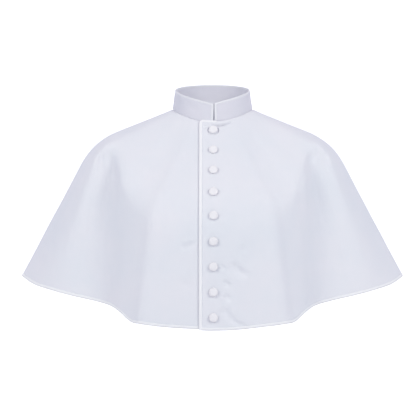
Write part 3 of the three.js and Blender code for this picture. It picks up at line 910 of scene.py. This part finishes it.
def make_collar():
    """The collar's cloth from its top to its seam, inside its binding, and its outer points."""
    levels = np.linspace(1, 0, COLLAR_ROWS)
    outer = []
    inner = []
    for level in levels:
        def share_at(angle, level=level):
            height = collar_height(angle)
            low = COLLAR_SEAM_GAP / height
            high = 1 - COLLAR_INSET / height
            return low + (high - low) * level

        front_share = share_at(np.array(0.0))
        start = collar_angle_at_x(collar_left_end(front_share) + COLLAR_INSET, front_share)
        end = 2 * math.pi + collar_angle_at_x(collar_right_end(front_share) - COLLAR_INSET, front_share)
        angles = np.linspace(start, end, COLLAR_COLUMNS)
        shares = share_at(angles)
        normal = collar_normal(angles, shares)
        face = collar_point(angles, shares)
        face = face + normal * collar_relief(angles, shares * collar_height(angles))[:, None]
        outer.append(face)
        inner.append(face - normal * COLLAR_CLOTH)
    outer = np.array(outer)
    inner = np.array(inner)
    # The collar's inside face takes the lighter colour: painted light.
    piece = shell("collar_cloth", outer, inner, collar_stuff, grid_uv(outer), inner_face_material=collar_inside_painted_light)
    return piece, outer


collar, collar_grid = make_collar()

BINDING_LIFT = BINDING_DEPTH / 2 - CLOTH


def cape_row(line, from_neck, lift_at, above):
    """Points and normals of a row that lies a height above the cloth's outer face."""
    points = cloth_points(line, from_neck, lift_at, below=-above)
    return points, cape_normal(np.asarray(line, float), np.asarray(from_neck, float))


def lap_edge_path(inset, above):
    """From the collar along the lap's free top, round its corner and down its edge, inside it by an inset."""
    bend = max(LAP_CORNER_RADIUS - inset, SMALLEST_BEND)
    top = inset - LAP_BINDING_RISE
    edge_x = LAP_EDGE_X + inset
    along_top = np.arange(LAP_BINDING_END_X, edge_x + bend, -BINDING_STEP / 2)
    xs = list(along_top)
    depths = [top] * len(along_top)
    for turn in np.linspace(0, math.pi / 2, LAP_CORNER_STATIONS):
        xs.append(edge_x + bend * (1 - math.sin(turn)))
        depths.append(top + bend * (1 - math.cos(turn)))
    lines = [float(line_at_x(np.array(x), lambda line, d=d: d + 0 * line)) for x, d in zip(xs, depths)]
    shares = np.linspace(LAP_EDGE_START, 1, LAP_EDGE_STATIONS)
    cut = INSET + STITCH_INSET if inset > INSET else 0
    for share in shares:
        def distance_at(line, share=share):
            return (lapped_length(line) - cut) * share

        if float(distance_at(np.array(0.0))) < depths[-1] + CLEAR_OF_CORNER and share < 1:
            continue
        line = float(line_at_x(np.array(edge_x), distance_at))
        lines.append(line)
        depths.append(float(distance_at(np.array(line))))
    return cape_row(np.array(lines), np.array(depths), lap_lift, above)


lap_centres, lap_normals = lap_edge_path(BINDING_WIDTH / 2, BINDING_LIFT)
lap_section = binding_section(BINDING_WIDTH, BINDING_DEPTH, CLOTH, -1)
lap_growth = smooth_step((LAP_BINDING_END_X - lap_centres[:, 0]) / LAP_BINDING_TAPER)
lap_sizes = LAP_BINDING_END_SIZE + (1 - LAP_BINDING_END_SIZE) * lap_growth
lap_binding = roll("lap_binding", lap_centres, lap_normals, lap_section, binding_cloth, sizes=lap_sizes)


def hem_lines(inset):
    """Lines along the hem for the left front, the back and the right front, and how far down each is."""

    def lapped(line):
        return lapped_length(line) - inset

    def plain(line):
        return length_at(line) - inset

    lap_start = float(line_at_x(np.array(LAP_EDGE_X + INSET), lapped))
    under_end = float(line_at_x(np.array(float(UNDERLAP_EDGE_X)), plain))
    left = np.linspace(lap_start, SIDE_LINE, HEM_FRONT_STATIONS)
    rear = np.linspace(SIDE_LINE, ALL_LINES - SIDE_LINE, HEM_BACK_STATIONS)[1:]
    right = np.linspace(ALL_LINES - SIDE_LINE, ALL_LINES + under_end, HEM_FRONT_STATIONS)[1:]
    return (left, lapped(left)), (rear, plain(rear)), (right, plain(right))


def hem_path(inset, above):
    """Round the hem from the underlap's end to the lap's edge: points, normals and the way up the cloth."""
    (left, left_down), (rear, rear_down), (right, right_down) = hem_lines(inset)
    rows = [
        cape_row(left, left_down, lap_lift, above),
        cape_row(rear, rear_down, no_lift, above),
        cape_row(right, right_down, no_lift, above),
    ]
    lines = np.concatenate([left, rear, right])
    down = np.concatenate([left_down, rear_down, right_down])
    widthways = -unit(along_line(lines, down))
    points = np.concatenate([row[0] for row in rows])
    normals = np.concatenate([row[1] for row in rows])
    return points[::-1], normals[::-1], widthways[::-1]


hem_centres, hem_normals, hem_widthways = hem_path(BINDING_WIDTH / 2, BINDING_LIFT)
hem_section = binding_section(BINDING_WIDTH, BINDING_DEPTH, CLOTH, 1)
# The hem's tape, with painted shade in grey on its folded edge.
hem_binding = roll(
    "hem_binding",
    hem_centres,
    hem_normals,
    hem_section,
    hem_binding_cloth,
    widthways=hem_widthways,
    fold=hem_fold_painted_shade,
)


def collar_edge_path(inset, corner, below_face):
    """Up the collar's right end, round its top and down its left end, inside its edge by an inset."""
    full_height = float(collar_height(np.array(0.0)))

    def station(angle, below_top):
        share = 1 - below_top / float(collar_height(np.array(angle)))
        normal = collar_normal(np.array(angle), np.array(share))
        unevenness = float(collar_relief(angle, max(share, 0) * full_height))
        lift = unevenness * COLLAR_BINDING_FOLLOWS - below_face
        return collar_point(np.array(angle), np.array(share)) + normal * lift, normal

    def end_stations(end_x_at, away):
        def reach(aside, below_top):
            share = 1 - below_top / full_height
            angle = float(collar_angle_at_x(end_x_at(share) + away * (inset + aside), share))
            return station(angle, below_top)

        foot = full_height - COLLAR_BINDING_FOOT
        straight = np.linspace(foot, inset + corner + 1, COLLAR_END_STATIONS)
        rising = [reach(0, below_top) for below_top in straight]
        for turn in np.linspace(0, math.pi / 2, COLLAR_CORNER_STATIONS):
            rising.append(reach(corner * (1 - math.cos(turn)), inset + corner * (1 - math.sin(turn))))
        return rising

    start = float(collar_angle_at_x(collar_left_end(1) + inset + corner, 1))
    end = 2 * math.pi + float(collar_angle_at_x(collar_right_end(1) - inset - corner, 1))
    rim = [station(angle, inset) for angle in np.linspace(start, end, COLLAR_RIM_STATIONS)[1:-1]]
    stations = end_stations(collar_left_end, 1) + rim + end_stations(collar_right_end, -1)[::-1]
    points = np.array([point for point, _ in stations])
    normals = np.array([normal for _, normal in stations])
    return points[::-1], normals[::-1]


collar_centres, collar_normals = collar_edge_path(
    COLLAR_BINDING_WIDTH / 2, COLLAR_BINDING_CORNER, COLLAR_CLOTH / 2
)
collar_section = binding_section(
    COLLAR_BINDING_WIDTH, COLLAR_BINDING_DEPTH, COLLAR_CLOTH, -1, COLLAR_BINDING_LIP
)
collar_binding = roll(
    "collar_binding", collar_centres, collar_normals, collar_section, collar_binding_cloth
)

lap_stitches = stitches("lap_stitching", *lap_edge_path(INSET + STITCH_INSET, THREAD_ABOVE), thread)
hem_stitch_points, hem_stitch_normals, _ = hem_path(INSET + STITCH_INSET, THREAD_ABOVE)
hem_stitches = stitches("hem_stitching", hem_stitch_points, hem_stitch_normals, thread)
collar_stitches = stitches(
    "collar_stitching",
    *collar_edge_path(COLLAR_INSET + STITCH_INSET, COLLAR_STITCH_CORNER, -THREAD_ABOVE),
    thread,
)

BUTTON_SIDES = 64
GATHER_REACH = 1.6

# Half of a button's section, from under its rim over the dome to its middle: radius and height.
BUTTON_SECTION = (
    (4.0, 0.0),
    (6.1, 0.0),
    (7.3, 0.5),
    (8.05, 1.15),
    (8.4, 1.9),
    (8.35, 2.55),
    (8.1, 3.15),
    (7.6, 3.6),
    (6.95, 3.9),
    (6.1, 4.1),
    (5.2, 4.24),
    (4.0, 4.33),
    (2.7, 4.38),
    (1.3, 4.4),
    (0.0, 4.4),
)


def button_cover(number, centre, normal):
    """A domed button: its cloth is drawn over the edge and turned in beneath, with faint gathers there."""
    around = BUTTON_SIDES
    profile = [(0.0, 0.0), *BUTTON_SECTION]
    side_x = unit(np.cross(np.array([0.0, 0.0, 1.0]), normal))
    side_y = np.cross(normal, side_x)
    vertices = [centre]
    uvs = [(0.0, 0.0)]
    turns = np.arange(around) / around * 2 * math.pi
    rings = profile[1:-1]
    for radius, height in rings:
        rim = math.exp(-(((radius - BUTTON_RADIUS) / GATHER_REACH) ** 2))
        for turn in turns:
            wide_gathers = 0.008 * rim * math.sin(17 * turn + number)
            fine_gathers = 0.006 * rim * math.sin(29 * turn + 2 * number)
            reach = radius * (1 + wide_gathers + fine_gathers)
            outward = side_x * reach * math.cos(turn) + side_y * reach * math.sin(turn)
            vertices.append(centre + outward + normal * height)
            uvs.append((reach * math.cos(turn) * MM, reach * math.sin(turn) * MM))
    vertices.append(centre + normal * profile[-1][1])
    uvs.append((0.0, 0.0))
    faces = []
    for side in range(around):
        faces.append((0, 1 + (side + 1) % around, 1 + side))
    for ring in range(len(rings) - 1):
        for side in range(around):
            a = 1 + ring * around + side
            b = 1 + ring * around + (side + 1) % around
            faces.append((a, b, b + around, a + around))
    top = len(vertices) - 1
    last = 1 + (len(rings) - 1) * around
    for side in range(around):
        faces.append((last + side, last + (side + 1) % around, top))
    return make_object(f"button_{number}_cover", vertices, faces, button_cloth, uvs, sharp_deg=80)


buttons = []
for index in range(BUTTON_COUNT):
    base = cape_point(BUTTON_LINES[index], BUTTON_DISTANCES[index])
    normal = cape_normal(BUTTON_LINES[index], BUTTON_DISTANCES[index])
    seat = base + normal * (float(lap_lift(base[0], BUTTON_DISTANCES[index])) + SEAM_GAP)
    facing = unit(normal + BUTTON_DROOP * np.array([0.0, -1.0, 0.0]))
    buttons.append(button_cover(index + 1, seat + facing * BUTTON_SHANK, facing))

cloths = (left_front, right_front, back, collar)
tapes = (lap_binding, hem_binding, collar_binding, lap_stitches, hem_stitches, collar_stitches)

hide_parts("left_front")
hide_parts("right_front")
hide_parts("back")
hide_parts("collar")
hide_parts("lap_piping")
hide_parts("hem_piping")
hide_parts("collar_piping")
for index, piece in enumerate(buttons):
    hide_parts(f"button_{index + 1}")
for piece in (*cloths, *tapes, *buttons):
    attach(piece, "root")

# The studio: a white sweep that is floor and backdrop, and soft lights. Its sizes are in metres.
FLOOR_Z = -1.5
SWEEP_HALF_WIDTH = 14
SWEEP_FRONT_Y = -14
SWEEP_BEND_Y = 5
SWEEP_BEND = 3
SWEEP_TOP_Z = 9
SWEEP_BEND_STATIONS = 16
SWEEP_GLOW = 0.72
PAPER_TONE = 0.88
WORLD_LIGHT = (0.45, 0.466, 0.597)

# Each light: its name, its place, its size, its power and its red, green and blue.
LIGHTS = (
    ("overhead", 0, 0.2, 3.0, 2.0, 7.6, 1, 0.67, 0.472),
    ("front_left", 2.2, -2.2, 1.2, 1.2, 42.0, 0.969, 1, 0.857),
    ("front_right", -2.2, -2.2, 1.2, 1.2, 39.5, 0.971, 1, 0.851),
)


def paper(name, glow):
    """Matt studio paper, lit from within where it has a glow."""
    material = bpy.data.materials.new(name)
    material.use_nodes = True
    shader = material.node_tree.nodes["Principled BSDF"]
    set_input(shader, "Base Color", (PAPER_TONE, PAPER_TONE, PAPER_TONE, 1))
    set_input(shader, "Roughness", 0.9)
    set_input(shader, "Specular IOR Level", 0.0)
    set_input(shader, "Emission Color", (1, 1, 1, 1))
    set_input(shader, "Emission Strength", glow)
    return material


def paper_strip(name, profile, material):
    """A strip of paper as wide as the sweep, along a profile of y and z."""
    vertices = [(side * SWEEP_HALF_WIDTH, y, z) for y, z in profile for side in (-1, 1)]
    faces = [(2 * i, 2 * i + 1, 2 * i + 3, 2 * i + 2) for i in range(len(profile) - 1)]
    mesh = bpy.data.meshes.new(name)
    mesh.from_pydata(vertices, [], faces)
    mesh.polygons.foreach_set("use_smooth", [True] * len(faces))
    mesh.materials.append(material)
    strip = bpy.data.objects.new(name, mesh)
    bpy.context.collection.objects.link(strip)
    return strip


bend = [
    (SWEEP_BEND_Y + SWEEP_BEND * math.sin(turn), FLOOR_Z + SWEEP_BEND * (1 - math.cos(turn)))
    for turn in np.linspace(0, math.pi / 2, SWEEP_BEND_STATIONS)
]
floor = paper_strip("floor", [(SWEEP_FRONT_Y, FLOOR_Z), bend[0]], paper("floor_paper", 0))
backdrop = paper_strip(
    "backdrop", bend + [(SWEEP_BEND_Y + SWEEP_BEND, SWEEP_TOP_Z)], paper("lit_paper", SWEEP_GLOW)
)

world = bpy.data.worlds.new("studio")
bpy.context.scene.world = world
world.use_nodes = True
set_input(world.node_tree.nodes["Background"], "Color", (*WORLD_LIGHT, 1))
set_input(world.node_tree.nodes["Background"], "Strength", 1.0)

LIGHT_AIM = (0, -0.05, -0.2)


def soft_light(name, x, y, z, size, power, red, green, blue):
    data = bpy.data.lights.new(name, "AREA")
    data.shape = "SQUARE"
    data.size = size
    data.energy = power
    data.color = (red, green, blue)
    light = bpy.data.objects.new(name, data)
    bpy.context.collection.objects.link(light)
    light.location = (x, y, z)
    away_x, away_y, away_z = (place - aim for place, aim in zip((x, y, z), LIGHT_AIM))
    pitch = math.acos(away_z / math.sqrt(away_x**2 + away_y**2 + away_z**2))
    yaw = math.atan2(away_y, away_x) + math.pi / 2
    light.rotation_euler = (pitch, 0, yaw)


for row in LIGHTS:
    soft_light(*row)

# The camera looks level at the front. These sizes are in millimetres, and so is the sensor's.
CAMERA_AWAY = 3000
CAMERA_X = -9
CAMERA_Z = -196.5
PICTURE_WIDTH_AT_NECK = 832
SENSOR_WIDTH = 36

camera_data = bpy.data.cameras.new("camera")
camera_data.sensor_width = SENSOR_WIDTH
camera_data.lens = SENSOR_WIDTH * CAMERA_AWAY / PICTURE_WIDTH_AT_NECK
camera = bpy.data.objects.new("camera", camera_data)
bpy.context.collection.objects.link(camera)
camera.location = (CAMERA_X * MM, -CAMERA_AWAY * MM, CAMERA_Z * MM)
camera.rotation_euler = (math.radians(90), 0, 0)
bpy.context.scene.camera = camera
bpy.context.scene.view_settings.view_transform = "Standard"
